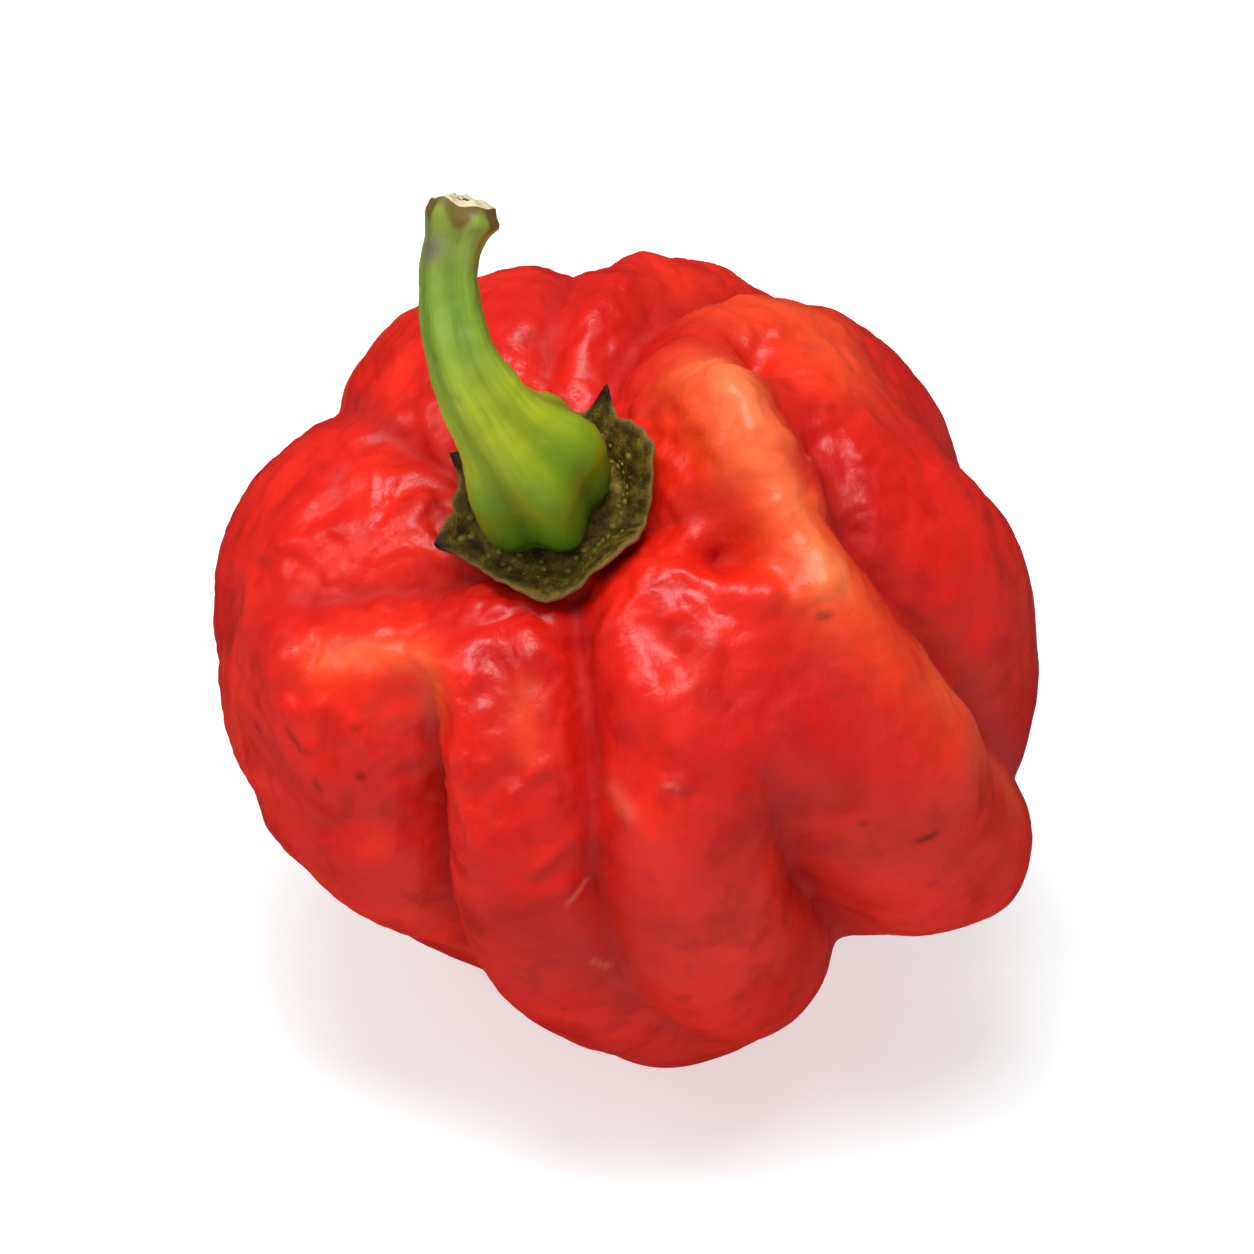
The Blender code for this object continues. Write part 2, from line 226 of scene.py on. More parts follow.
# path, depth at each of its points, width, radius that rounds its bottom
furrows = {
    "front": (
        [(6, 77), (3, 64), (0, 46), (-5, 24), (-5, 6), (-1, -20), (4, -52)],
        [1.4, 3.0, 3.0, 2.6, 2.0, 2.2, 1.0],
        2.4, 0.7,
    ),
    "frontLeft": (
        [(-44, 58), (-41, 50), (-38, 37), (-37, 26), (-35, 12), (-34, -12), (-32, -28), (-28, -52)],
        [0.0, 1.6, 4.2, 4.8, 4.8, 4.6, 3.0, 1.0],
        2.4, 0.8,
    ),
    "left": (
        [(-56, 76), (-68, 66), (-79, 53), (-87, 38), (-92, 18), (-92, -10), (-88, -45)],
        [1.4, 2.3, 2.0, 0.8, 0.6, 2.0, 1.4],
        2.4, 1.0,
    ),
    "backLeft": (
        [(-120, 76), (-127, 62), (-133, 42), (-136, 15), (-138, -15), (-136, -52)],
        [1.4, 2.2, 2.2, 2.4, 2.6, 1.2],
        2.6, 0.8,
    ),
    "back": (
        [(180, 76), (179, 60), (176, 44), (173, 22), (176, -12), (178, -50)],
        [1.0, 1.9, 2.2, 2.6, 2.8, 1.2],
        2.2, 0.7,
    ),
    "backRight": (
        [(150, 76), (154, 60), (151, 42), (145, 26), (142, 4), (140, -28)],
        [1.0, 2.2, 2.6, 2.6, 1.6, 0.0],
        2.2, 0.7,
    ),
    "right": (
        [(112, 54), (96, 49), (81, 44), (72, 33), (67, 18), (64, 3), (66, -16), (70, -48)],
        [0.0, 1.6, 2.4, 2.8, 3.2, 3.0, 2.0, 1.2],
        2.6, 1.4,
    ),
    "frontRight": (
        [(31, 40), (29, 30), (27, 19), (27, 6), (29, -12), (31, -28), (33, -52)],
        [0.0, 1.2, 3.2, 4.8, 5.6, 4.4, 1.0],
        2.8, 1.1,
    ),
    "rightShoulder": ([(62, 75), (71, 68), (80, 60)], [1.2, 1.1, 0.0], 1.3, 0.6),
    "shoulderDent": ([(58, 67), (61, 61), (63, 54)], [0.4, 2.4, 0.4], 1.5, 0.9),
    "frontLeftLobe": ([(-22, 68), (-20, 56), (-18, 44), (-20, 34)], [0.0, 0.9, 0.8, 0.0], 1.4, 0.8),
    "farRight": ([(112, 20), (110, 0), (108, -24), (108, -52)], [0.0, 2.0, 2.6, 1.2], 2.8, 1.0),
}
furrowBottom = (0.15, 0.7, 0.25)  # sharper than the solids': share of the depth more, width, radius

# path, height (sunk where negative), reach to each side
folds = {
    "frontLobeFoot": ([(8, 4), (8, -14)], 0.6, 7.0),
    "frontLobeCrest": ([(14, 66), (14, 48), (12, 30)], 0.8, 4.5),
    "leftFlank": ([(-98, 34)], 0.8, 9.0),
    "rightFlank": ([(84, 16)], 0.8, 7.0),
    "upperRightHollow": ([(113, 24), (108, 16)], -1.5, 4.5),
    "backTop": ([(165, 45)], 0.8, 6.0),
    "backLeftTop": ([(-150, 40)], 0.2, 6.0),
    "frontRightCorner": ([(50, 8), (50, -10)], 2.6, 7.5),
    "frontRightCornerTip": ([(60, -14), (54, -18)], 1.1, 4.5),
    "frontRightCrest": ([(100, 62), (84, 56), (68, 47), (58, 34), (52, 20)], 1.5, 3.6),
    "pocketBesideTheNotch": ([(36, 16)], -1.3, 3.0),
    "leftLobeUnderside": ([(-42, -24), (-56, -14), (-70, -12)], -3.8, 7.5),
    "leftLobeBelly": ([(-72, 46), (-62, 36), (-50, 32)], 0.9, 4.5),
    "leftLobeFold": ([(-64, 25), (-50, 27), (-38, 30)], -0.9, 2.2),
    "leftLobeDent": ([(-45, 48), (-44, 38)], -1.0, 3.5),
    "upperLeftDent": ([(-100, 56)], -0.5, 3.0),
    "backRightDent": ([(124, 48)], -1.1, 3.0),
    "backRightTop": ([(104, 60), (96, 56)], 0.7, 4.5),
    "shoulderSwelling": ([(118, 64), (102, 65), (88, 63)], 1.2, 3.0),
    "shoulderRidge": ([(40, 68), (50, 62), (56, 52)], 0.7, 2.4),
    "frontLeftCrest": ([(-30, 54), (-26, 40), (-20, 26)], 0.6, 3.2),
}

# small folds of the slack skin, too fine for the solids: path, height, reach
skinFolds = {
    "puckerToCalyx": ([(124, 48), (118, 55)], -0.32, 0.7),
    "puckerBack": ([(124, 48), (133, 48)], -0.28, 0.7),
    "puckerOut": ([(124, 48), (131, 42)], -0.3, 0.7),
    "puckerRight": ([(124, 48), (126, 40)], -0.28, 0.7),
    "puckerFront": ([(124, 48), (113, 47)], -0.32, 0.8),
    "shoulderFoldA": ([(72, 66), (74, 61), (72, 56)], 0.35, 1.1),
    "shoulderFoldB": ([(75, 56), (70, 50), (63, 46)], 0.3, 1.3),
    "shoulderFoldC": ([(92, 71), (98, 66), (108, 64)], -0.26, 1.0),
    "shoulderFoldD": ([(96, 55), (88, 50), (80, 47)], 0.3, 1.2),
    "besideCalyx": ([(112, 61), (97, 60)], 0.6, 2.0),
    "dentTail": ([(61, 58), (61, 55), (60, 52)], -0.7, 0.9),
    "dentLip": ([(51, 64), (51, 58), (53, 53)], 0.35, 1.0),
    "dentEnd": ([(69, 50), (64, 47)], 0.3, 1.0),
    "leftShoulderA": ([(-97, 47), (-99, 56), (-96, 67)], 0.26, 1.3),
    "leftShoulderB": ([(-100, 28), (-102, 40), (-106, 52)], 0.22, 1.4),
    "leftShoulderC": ([(-112, 35), (-116, 50), (-117, 66)], 0.22, 1.3),
    "leftLedge": ([(-72, 13), (-59, 22), (-48, 28), (-39, 33)], -0.26, 1.0),
    "leftLedgeUnder": ([(-70, 8), (-57, 16), (-46, 21)], 0.22, 1.1),
    "narrowLobeHook": ([(-33, 57), (-29, 54), (-26, 57)], -0.2, 0.6),
    "narrowLobeSide": ([(-16, 63), (-19, 55), (-17, 48)], 0.22, 1.0),
    "narrowLobeTop": ([(-29, 66), (-28, 59)], -0.18, 0.9),
    "narrowLobeCrossA": ([(-17, 42), (-10, 46)], 0.3, 0.55),
    "narrowLobeCrossB": ([(-18, 37), (-12, 38), (-8, 41)], 0.18, 0.7),
    "narrowLobeCrossC": ([(-13, 31), (-6, 34)], 0.3, 0.55),
    "narrowLobeCrossD": ([(-14, 26), (-5, 27)], 0.16, 0.8),
    "frontLobeShoulder": ([(16, 65), (16, 59), (17, 51)], 0.32, 1.2),
    "frontLobeShoulderB": ([(37, 60), (35, 53)], 0.3, 1.1),
    "frontLobeShoulderC": ([(27, 62), (26, 54)], -0.2, 0.9),
    "frontLobePatchA": ([(2, 43), (4, 40)], 0.26, 0.8),
    "frontLobePatchB": ([(5, 37), (7, 34)], 0.24, 0.8),
    "frontLobeNick": ([(13, 41), (16, 40)], 0.25, 0.5),
    "leftPatch": ([(-84, 40), (-75, 44)], 0.8, 3.0),
    "leftPatchEdge": ([(-69, 48), (-65, 41)], -0.3, 0.9),
    "leftStreak": ([(-95, 45), (-97, 55)], 0.35, 0.9),
    "upperLeft": ([(-123, 47), (-130, 55)], 0.4, 1.8),
    "bellyLine": ([(-9, 26), (-8, 16), (-6, 8), (-3, -2)], 0.28, 0.9),
    "bellyLineB": ([(8, 18), (13, 4), (13, -10)], -0.18, 1.2),
    "pocketRim": ([(39, 36), (36, 27), (34, 18)], 0.25, 1.2),
    "pocketRimB": ([(26, 34), (21, 22), (19, 8)], 0.25, 1.4),
    "rightLobeLine": ([(83, 38), (76, 33), (71, 24), (70, 12)], 0.22, 1.0),
    "backLobeLine": ([(168, 60), (165, 48), (163, 34)], 0.22, 1.2),
    "backLeftOutline": ([(-136, 38), (-131, 52)], 0.8, 1.8),
    "backOutline": ([(176, 40), (179, 54)], 0.8, 1.8),
}


def directions(longitude, latitude):
    lon, lat = np.radians(longitude), np.radians(latitude)
    return np.stack([np.cos(lat) * np.sin(lon), -np.cos(lat) * np.cos(lon), np.sin(lat)], axis=-1)


def toPath(d, path):
    # how far each direction is from a path, in millimetres, and where along it, in its own steps
    corners = directions(*np.array(path, float).T)
    nearest = np.linalg.norm(d - corners[0], axis=1)
    along = np.zeros(len(d))
    for step, (start, end) in enumerate(zip(corners, corners[1:])):
        run = end - start
        t = np.clip((d - start) @ run / (run @ run), 0.0, 1.0)
        apart = np.linalg.norm(d - start - t[:, None] * run, axis=1)
        along = np.where(apart < nearest, step + t, along)
        nearest = np.minimum(nearest, apart)
    return nearest * fruitForm["width"] / 2, along


def furrowDepth(d, path, depths, width, tip):
    apart, along = toPath(d, path)
    rounded = np.hypot(apart, tip) - tip
    return np.interp(along, range(len(depths)), depths) * np.exp(-rounded / width)


def foldHeight(d, path, height, reach):
    apart, _ = toPath(d, path)
    return height * np.exp(-((apart / reach) ** 2))


def fruitSkin(d, fine=False):
    # the skin in each direction d, with what is too small for the solids where fine is set
    across = np.hypot(d[:, 0], d[:, 1]) / (fruitForm["width"] / 2)
    along = np.abs(d[:, 2]) / (fruitForm["length"] / 2)
    power = fruitForm["shoulder"]
    radius = (across**power + along**power) ** (-1.0 / power)
    for furrow in furrows.values():
        radius = radius - furrowDepth(d, *furrow)
    for fold in folds.values():
        radius = radius + foldHeight(d, *fold)
    if fine:
        for fold in skinFolds.values():
            radius = radius + foldHeight(d, *fold)
        for path, depths, _, _ in furrows.values():
            share, width, tip = furrowBottom
            radius = radius - furrowDepth(d, path, np.array(depths) * share, width, tip)
    skin = d * radius[:, None]
    across = np.hypot(skin[:, 0], skin[:, 1])
    for (depth, reach), side in ((fruitForm["calyxDimple"], 1), (fruitForm["blossomDimple"], -1)):
        sunk = depth * np.exp(-((across / reach) ** 2))
        skin[:, 2] -= np.where(side * d[:, 2] > 0, side * sunk, 0.0)
    return skin


def leanOver():
    front = Matrix.Rotation(math.radians(fruitForm["leanFront"]), 3, "X")
    left = Matrix.Rotation(math.radians(-fruitForm["leanLeft"]), 3, "Y")
    return np.array(left @ front)


def fruitLift():
    # how high the fruit's middle is, found on a net of 4 degrees
    lon, lat = np.meshgrid(np.arange(-180.0, 180.0, 4.0), np.arange(-88.0, 89.0, 4.0))
    skin = fruitSkin(directions(lon.ravel(), lat.ravel()))
    return fruitForm["floorClearance"] - float((skin @ leanOver().T)[:, 2].min())


place = np.array([0.0, 0.0, fruitLift()])  # of the fruit's middle, set for good when the fruit is made


def setDown(points):
    return points @ leanOver().T + place


def standOnFeet(points):
    x, y, z = points.T
    below = smoothStep(2.0 - z / fruitForm["drawnDownBelow"])
    flat, reach = fruitForm["footFlat"], fruitForm["footReach"]
    for footX, footY in fruitForm["feet"]:
        apart = np.hypot(x - footX, y - footY)
        z = z * (1.0 - below * smoothStep((reach - apart) / (reach - flat)))
    return np.stack([x, y, z], axis=1)


def cubeGrid(cells):
    # the surface of a cube from -1 to 1 as shared vertices and outward quads
    steps = np.arange(cells + 1)
    u, v = (g.ravel() for g in np.meshgrid(steps, steps, indexing="ij"))
    corner = (steps[:-1, None] * (cells + 1) + steps[None, :-1]).ravel()
    quad = np.stack([corner, corner + cells + 1, corner + cells + 2, corner + 1], axis=1)
    places, quads = [], []
    for axis in range(3):
        for side in (0, cells):
            grid = np.zeros((len(u), 3), int)
            grid[:, axis] = side
            grid[:, (axis + 1) % 3] = u if side else v
            grid[:, (axis + 2) % 3] = v if side else u
            quads.append(quad + len(places) * len(u))
            places.append(grid)
    shared, at = np.unique(np.concatenate(places), axis=0, return_inverse=True)
    return shared * 2.0 / cells - 1.0, at.ravel()[np.concatenate(quads)]


# Where the skin is ripe orange rather than red, and where it is marked: place, reach, strength

blushes = {
    "shoulderBesideCalyx": ([(121, 61), (106, 62), (91, 60)], 2.6, 0.9),
    "shoulderBelow": ([(75, 53), (66, 48)], 2.4, 0.8),
    "shoulderEdge": ([(62, 42), (60, 30), (58, 16)], 3.0, 0.3),
    "besideLeftFurrow": ([(-66, 48), (-56, 55), (-47, 58), (-41, 55), (-40, 50)], 1.3, 0.5),
    "backTop": ([(140, 40), (128, 34), (118, 36)], 4.0, 0.35),
    "rightEdge": ([(64, 22), (62, 8), (60, -4)], 1.8, 0.35),
    "narrowLobeSide": ([(-16, 58), (-14, 48)], 1.0, 0.25),
    "backLeft": ([(-150, 20)], 5.0, 0.4),
    "underRight": ([(96, -20)], 5.0, 0.3),
}
specks = {
    "a": ([(-70, 31)], 0.22, 0.7),
    "b": ([(-49, 36)], 0.26, 0.9),
    "c": ([(-53, 43)], 0.2, 0.5),
    "d": ([(-55, 33), (-54, 32)], 0.2, 0.45),
    "scratch": ([(-63, 37), (-60, 36), (-58, 36)], 0.17, 0.5),
    "rightA": ([(56, 45), (57, 44)], 0.22, 0.7),
    "rightB": ([(42, 11), (44, 11)], 0.2, 0.7),
    "rightC": ([(38, 17)], 0.2, 0.5),
    "belly": ([(-14, 2)], 0.24, 0.45),
}
# small pale marks: partly scuffs where the wax was rubbed off and partly painted highlights
scuffsAndHighlights = {
    "frontLobe": ([(3, 41), (5, 38)], 0.6, 0.2),
    "nick": ([(13, 41), (15, 40)], 0.14, 0.4),
    "besideFurrow": ([(-9, 24), (-6, 26)], 0.14, 0.4),
    "lowInFurrow": ([(-8, 12), (-6, 9)], 0.14, 0.3),
    "shoulder": ([(92, 50)], 0.2, 0.4),
}
# how dark the painted shade at a furrow's bottom is: the depth that makes it darkest, and how far the shade
# reaches
crease = {"darkestAt": 2.6, "reach": 0.6, "reachOfTip": 0.4}
# how slack the skin is, as shares of the full pucker, and the latitudes between which each sets in
slackness = {
    "everywhere": 0.25,
    "upperHalf": 0.5,
    "upperHalfFrom": (-10.0, 45.0),
    "besideCalyx": 0.5,
    "besideCalyxFrom": (58.0, 72.0),
    "besideCalyxTo": (74.0, 78.0),
    "noneUnderCalyx": (75.0, 78.0),
    "noneOnFloor": (3.5, 0.5),  # millimetres above it
}
# where the skin is stretched smooth: path, share of the pucker that is lost, reach
tautSkin = {
    "belly": ([(8, 40), (12, 18), (10, -5)], 0.6, 8.0),
    "right": ([(44, 36), (42, 16)], 0.5, 7.0),
}


def skinMarks(d, height):
    # the crease mark is where painted shade darkens the furrows' bottoms, and where their wax is dulled
    creaseShadeAndDull = np.zeros(len(d))
    for path, depths, _, tip in furrows.values():
        apart, along = toPath(d, path)
        deep = np.clip(np.interp(along, range(len(depths)), depths) / crease["darkestAt"], 0.0, 1.0)
        reach = crease["reach"] + crease["reachOfTip"] * tip
        creaseShadeAndDull = np.maximum(creaseShadeAndDull, deep * np.exp(-apart / reach))
    marks = {"creaseShadeAndDull": creaseShadeAndDull}
    for name, spots in (("blush", blushes), ("speck", specks), ("scuffAndHighlight", scuffsAndHighlights)):
        laid = sum(foldHeight(d, path, strength, reach) for path, reach, strength in spots.values())
        marks[name] = np.clip(laid, 0, 1)
    latitude = np.degrees(np.arcsin(d[:, 2]))
    upper = rise(latitude, *slackness["upperHalfFrom"])
    beside = rise(latitude, *slackness["besideCalyxFrom"])
    beside = beside * (1.0 - rise(latitude, *slackness["besideCalyxTo"]))
    slack = slackness["everywhere"] + slackness["upperHalf"] * upper + slackness["besideCalyx"] * beside
    for stretched in tautSkin.values():
        slack = slack * (1.0 - foldHeight(d, *stretched))
    slack = slack * (1.0 - rise(latitude, *slackness["noneUnderCalyx"]))
    marks["slack"] = slack * (1.0 - rise(height, *slackness["noneOnFloor"]))
    return marks


# Ripe chilli skin: a clear waxy cuticle over thin red flesh. The wax is glossy but worn in patches, so its
# highlights are soft and broken, and light that enters the flesh comes out again as a warm glow.

def ripeChilliSkin():
    material, tree, shader = newMaterial("ripe_chilli_skin")
    where = onPiece(tree)
    mark = {name: markInShader(tree, name) for name in ("creaseShadeAndDull", "blush", "speck", "scuffAndHighlight")}
    # clouds of riper and less ripe red, about 9 mm across
    clouds = addNoise(tree, where, 1 / (9 * mm), 3.0, 0.55, 0.6)
    red = addRamp(tree, clouds, ((0.32, "#C80E05"), (0.68, "#E8240C")))
    # deep red mottles, about 3 mm across
    ragged = addNoise(tree, where, 1 / (3 * mm), 3.0, 0.6)
    mottle = mapRange(tree, ragged, (0.48, 0.68), (0.0, 0.55), smooth=True)
    mottled = paintOver(tree, mottle, red, "#B00602")
    # the orange blush has a ragged edge, and its core is painted paler: partly the less ripe skin's own
    # colour and partly a painted highlight
    edge = calculate(tree, "MULTIPLY_ADD", ragged, 1.4, 0.25, clamp=True)
    blush = calculate(tree, "MULTIPLY", mark["blush"], edge, clamp=True)
    blushed = paintOver(tree, blush, mottled, "#F6581C")
    paledCoreAndHighlight = paintOver(tree, calculate(tree, "POWER", blush, 2.0), blushed, "#FB7C48")
    # painted shade: darker red at the bottom of the furrows
    creaseShaded = paintOver(tree, mark["creaseShadeAndDull"], paledCoreAndHighlight, "#A60400")
    speckled = paintOver(tree, mark["speck"], creaseShaded, "#4A0805")
    # pale marks, partly scuffs in the wax and partly painted highlights
    scuffedAndHighlit = paintOver(tree, mark["scuffAndHighlight"], speckled, "#F08468")
    # the wax is worn in patches about 5 mm across, and dull at the very bottom of the furrows
    worn = addNoise(tree, where, 1 / (5 * mm), 4.0, 0.6)
    gloss = mapRange(tree, worn, (0.3, 0.7), (0.3, 0.46))
    bottom = calculate(tree, "MULTIPLY", mark["creaseShadeAndDull"], mark["creaseShadeAndDull"])
    dulled = calculate(tree, "MULTIPLY_ADD", bottom, 0.8, gloss, clamp=True)
    # crackle of the cuticle, about 0.6 mm across, which breaks the highlights up
    crackle = addNoise(tree, where, 1 / (0.6 * mm), 2.0, 0.5, 0.5)
    fillInputs(tree, shader, {
        "Base Color": scuffedAndHighlit, "Roughness": dulled, "Normal": addBump(tree, crackle, 0.8, 0.06 * mm),
        "IOR": 1.42, "Specular IOR Level": 0.42,
        "Subsurface Weight": 0.1, "Subsurface Radius": (1.0, 0.12, 0.06), "Subsurface Scale": 1.2 * mm,
    })
    return material


# how the slack skin puckers: sizes and depths in millimetres
slackSkin = {
    "Dimple size": 4.0,
    "Dimple depth": 1.4,
    "Wrinkle size": 3.4,
    "Wrinkle depth": 0.15,
    "Wrinkle width": 0.11,
    "Fine size": 1.6,
    "Fine depth": 0.42,
}
# how each kind of pucker's noise is made: detail, distortion
slackNoise = {"Dimple": (1.0, 0.5), "Wrinkle": (1.5, 1.1), "Fine": (2.0, 0.3)}


def slackSkinTree(material):
    # moves the skin in and out along its normal: soft dimples, thin winding wrinkles and a fine unevenness
    tree, size = newGeometryTree("slackSkin", slackSkin)
    where = scaled(tree, addNode(tree, "GeometryNodeInputPosition").outputs[0], 1 / mm)
    total = 0.0
    for label, (detail, distortion) in slackNoise.items():
        scale = calculate(tree, "DIVIDE", 1.0, size[label + " size"])
        noise = addNoise(tree, where, scale, detail, distortion=distortion)
        height = calculate(tree, "SUBTRACT", noise, 0.5)
        if label == "Wrinkle":  # a thin valley wherever the noise crosses its middle
            away = calculate(tree, "ABSOLUTE", height)
            height = mapRange(tree, away, (0.0, size["Wrinkle width"]), (-1.0, 0.0), smooth=True)
        total = calculate(tree, "ADD", total, calculate(tree, "MULTIPLY", height, size[label + " depth"]))
    masked = calculate(tree, "MULTIPLY", total, markInGeometry(tree, "slack"))
    puckered = pushOut(tree, size["Geometry"], calculate(tree, "MULTIPLY", masked, mm))
    endTree(tree, puckered, material)
    return tree


def makeFruit():
    global place
    onCube, quads = cubeGrid(fruitForm["cells"])
    even = np.tan(onCube * math.pi / 4)  # equal angles between the grid's lines
    d = even / np.linalg.norm(even, axis=1)[:, None]
    points = standOnFeet(setDown(fruitSkin(d, fine=True)))
    plain = setDown(fruitSkin(d))
    middle = (plain.min(axis=0) + plain.max(axis=0)) / 2  # the fruit stands over the origin
    shift = np.array([-middle[0], -middle[1], 0.0])
    fruit = newPiece("ripe_fruit", (points + shift) * mm, quads, skinMarks(d, points[:, 2]))
    place = place + shift
    runTree(fruit, slackSkinTree(ripeChilliSkin()), slackSkin)
    finishPiece(fruit, "fruit", "fruit")
    print("fruit:", len(fruit.data.vertices), "vertices")


makeFruit()


# The calyx: a shallow dish of drying leaf, its thin rim lifted off the fruit and drawn out to teeth

calyxForm = {
    "gap": 0.3,  # to the fruit under it
    "thickness": 0.8,
    "rimThickness": 0.32,
    "colatitude": 16.4,  # how far the rim reaches down the shoulder, degrees
    "teeth": {
        # longitude: (further reach in degrees, lift of the tip, half its width in degrees)
        -8: (2.4, 0.1, 30),
        -76: (4.2, 0.7, 18),
        -126: (3.2, 0.9, 16),
        146: (4.2, 1.1, 14),
        100: (0.6, 0.2, 26),
        -168: (1.4, 0.3, 22),
        46: (0.8, 0.2, 26),
    },
    "toothSharpness": 1.6,  # 1 is a straight-sided tooth, more has hollow sides
    "toothCurlFrom": 0.75,  # share of the way to the rim where the teeth start to lift
    "rimLift": 0.8,
    "rimLiftFrom": 0.62,
    "seat": 3.9,  # radius of the flat that carries the stalk
    "seatEdge": 0.7,  # over which it blends into the dish
    "seatRise": 0.3,
    "veinHeight": 0.14,
    "veinWidth": 5.0,  # degrees
    "veinsFrom": (0.55, 0.75),  # shares of the way to the rim
    "veinsTo": (0.88, 1.0),
    "raggedness": 0.2,  # degrees that the rim wanders
    "crumple": 0.12,
    "sides": 240,
    "rings": 28,
    "firstRing": 0.04,  # share of the way to the rim
}
# where the colours and the warts of the dish lie: shares of the way to the rim
calyxMarks = {
    "toothTipLift": (0.25, 0.65),  # millimetres that a tooth is raised
    "toothTip": (0.85, 0.97),
    "rim": (0.95, 0.99),
    "collarFrom": (0.6, 0.65),
    "collarTo": (0.74, 0.86),
}


def apartFrom(longitude, other):
    return np.abs((longitude - other + 180.0) % 360.0 - 180.0)


def calyxEdge(longitude):
    # how far the rim reaches, in degrees, and how far it is raised, in millimetres
    turn = np.radians(longitude)
    # waves round the rim, crossed so that they have no plain rhythm
    wander = np.sin(turn * 11 + 1.0) * np.sin(turn * 5) + 0.5 * np.sin(turn * 29 + 2.0)
    reach = calyxForm["colatitude"] + calyxForm["raggedness"] * wander
    raised = np.zeros(len(longitude))
    for tooth, (further, tipLift, halfWidth) in calyxForm["teeth"].items():
        near = np.clip(1.0 - apartFrom(longitude, tooth) / halfWidth, 0.0, 1.0)
        shape = near ** calyxForm["toothSharpness"]
        reach = reach + further * shape
        raised = raised + tipLift * shape
    return reach, raised


def onAxis(height):
    # the point at this height on the fruit's axis, once the fruit is set down
    return setDown(np.array([[0.0, 0.0, height]]))


def calyxUnderHeight():
    return fruitSkin(np.array([[0.0, 0.0, 1.0]]))[0, 2] + calyxForm["gap"]


def calyxSeatHeight():
    return calyxUnderHeight() + calyxForm["thickness"] + calyxForm["seatRise"]


def calyxRing(share, upper):
    # one ring of the dish, this share of the way to its rim, on its upper or its lower face
    c = calyxForm
    longitude = np.arange(c["sides"]) * 360.0 / c["sides"]
    reach, raised = calyxEdge(longitude)
    skin = fruitSkin(directions(longitude, 90.0 - share * reach))
    outer, curled = rise(share, c["rimLiftFrom"], 1.0), rise(share, c["toothCurlFrom"], 1.0)
    turn = np.radians(longitude)
    # two sets of waves that run slantwise across each other
    crumple = np.sin(turn * 13 + share * 9) * np.sin(turn * 7 - share * 14 + 1.0)
    skin[:, 2] += c["gap"] + c["rimLift"] * outer + raised * curled + c["crumple"] * crumple * outer
    if upper:
        veins = sum(np.exp(-((apartFrom(longitude, tooth) / c["veinWidth"]) ** 2)) for tooth in c["teeth"])
        shown = rise(share, *c["veinsFrom"]) * (1.0 - rise(share, *c["veinsTo"]))
        skin[:, 2] += c["thickness"] + (c["rimThickness"] - c["thickness"]) * outer
        skin[:, 2] += c["veinHeight"] * veins * shown
        offSeat = rise(np.hypot(skin[:, 0], skin[:, 1]), c["seat"], c["seat"] + c["seatEdge"])
        skin[:, 2] = skin[:, 2] * offSeat + calyxSeatHeight() * (1.0 - offSeat)
    return setDown(skin)


# Drying calyx leaf: olive tissue that has lost its gloss and browned, with a thin, corky, paler rim.
# The surface is matt and finely crumpled, so it gives the eye no clear highlight.

def dryingCalyx():
    material, tree, shader = newMaterial("drying_calyx_leaf")
    where = onPiece(tree)
    blotches = addNoise(tree, where, 1 / (1.1 * mm), 5.0, 0.7)
    leaf = addRamp(tree, blotches, (
        (0.3, "#20160A"), (0.45, "#443608"), (0.6, "#6A5818"), (0.74, "#8E7E30"),
    ))
    rimmed = paintOver(tree, calculate(tree, "MULTIPLY", markInShader(tree, "rim"), 0.8), leaf, "#8C6A3A")
    # the tips of the raised teeth have dried to dark brown
    withered = paintOver(tree, markInShader(tree, "toothTip"), rimmed, "#261A0C")
    # crumples about 0.5 mm across
    crumple = addNoise(tree, where, 1 / (0.5 * mm), 4.0, 0.6)
    fillInputs(tree, shader, {
        "Base Color": withered, "Normal": addBump(tree, crumple, 0.9, 0.25 * mm),
        "Roughness": 0.6, "IOR": 1.4, "Specular IOR Level": 0.25,
    })
    return material


# olive warts of corky tissue that ring the stalk's foot
wartSizes = {
    "Wart radius": 0.24 * mm,
    "Wart spacing": 0.34 * mm,
    "Warts per square metre": 4.0e6,  # before those that stand too close are taken away
    "Wart variation": 0.7,
    "Largest wart": 1.15,  # times the radius
    "Seed": 7,
}
wartShape = (1.0, 0.8, 0.5)  # flattened on the dish


def corkyWart():
    # corky leaf tissue, still olive green, and dull
    material, tree, shader = newMaterial("corky_wart")
    tone = addNoise(tree, onPiece(tree), 1 / (1.2 * mm))
    colour = paintOver(tree, tone, hexToLinear("#3C3A0C"), "#8A8A38")
    fillInputs(tree, shader, {"Base Color": colour, "Roughness": 0.75, "Specular IOR Level": 0.2})
    return material


def wartTree(material):
    # scatters flattened balls over the collar of the dish, where the mark says so
    tree, size = newGeometryTree("calyxWarts", wartSizes)
    points = addNode(tree, "GeometryNodeDistributePointsOnFaces", {"distribute_method": "POISSON"}, {
        "Mesh": size["Geometry"], "Distance Min": size["Wart spacing"],
        "Density Max": size["Warts per square metre"], "Density Factor": markInGeometry(tree, "collar"),
        "Seed": size["Seed"],
    })
    sphere = {"Radius": size["Wart radius"], "Subdivisions": 3}
    ball = addNode(tree, "GeometryNodeMeshIcoSphere", {}, sphere).outputs["Mesh"]
    smooth = addNode(tree, "GeometryNodeSetShadeSmooth", {}, {"Geometry": ball})
    swell = addNode(tree, "FunctionNodeRandomValue", {"data_type": "FLOAT"}, {
        2: calculate(tree, "SUBTRACT", 1.0, size["Wart variation"]), 3: size["Largest wart"],
        "Seed": size["Seed"],
    })
    balls = addNode(tree, "GeometryNodeInstanceOnPoints", {}, {
        "Points": points.outputs["Points"], "Instance": smooth.outputs[0],
        "Rotation": points.outputs["Rotation"], "Scale": scaled(tree, wartShape, swell.outputs[1]),
    })
    endTree(tree, balls.outputs[0], material)
    return tree


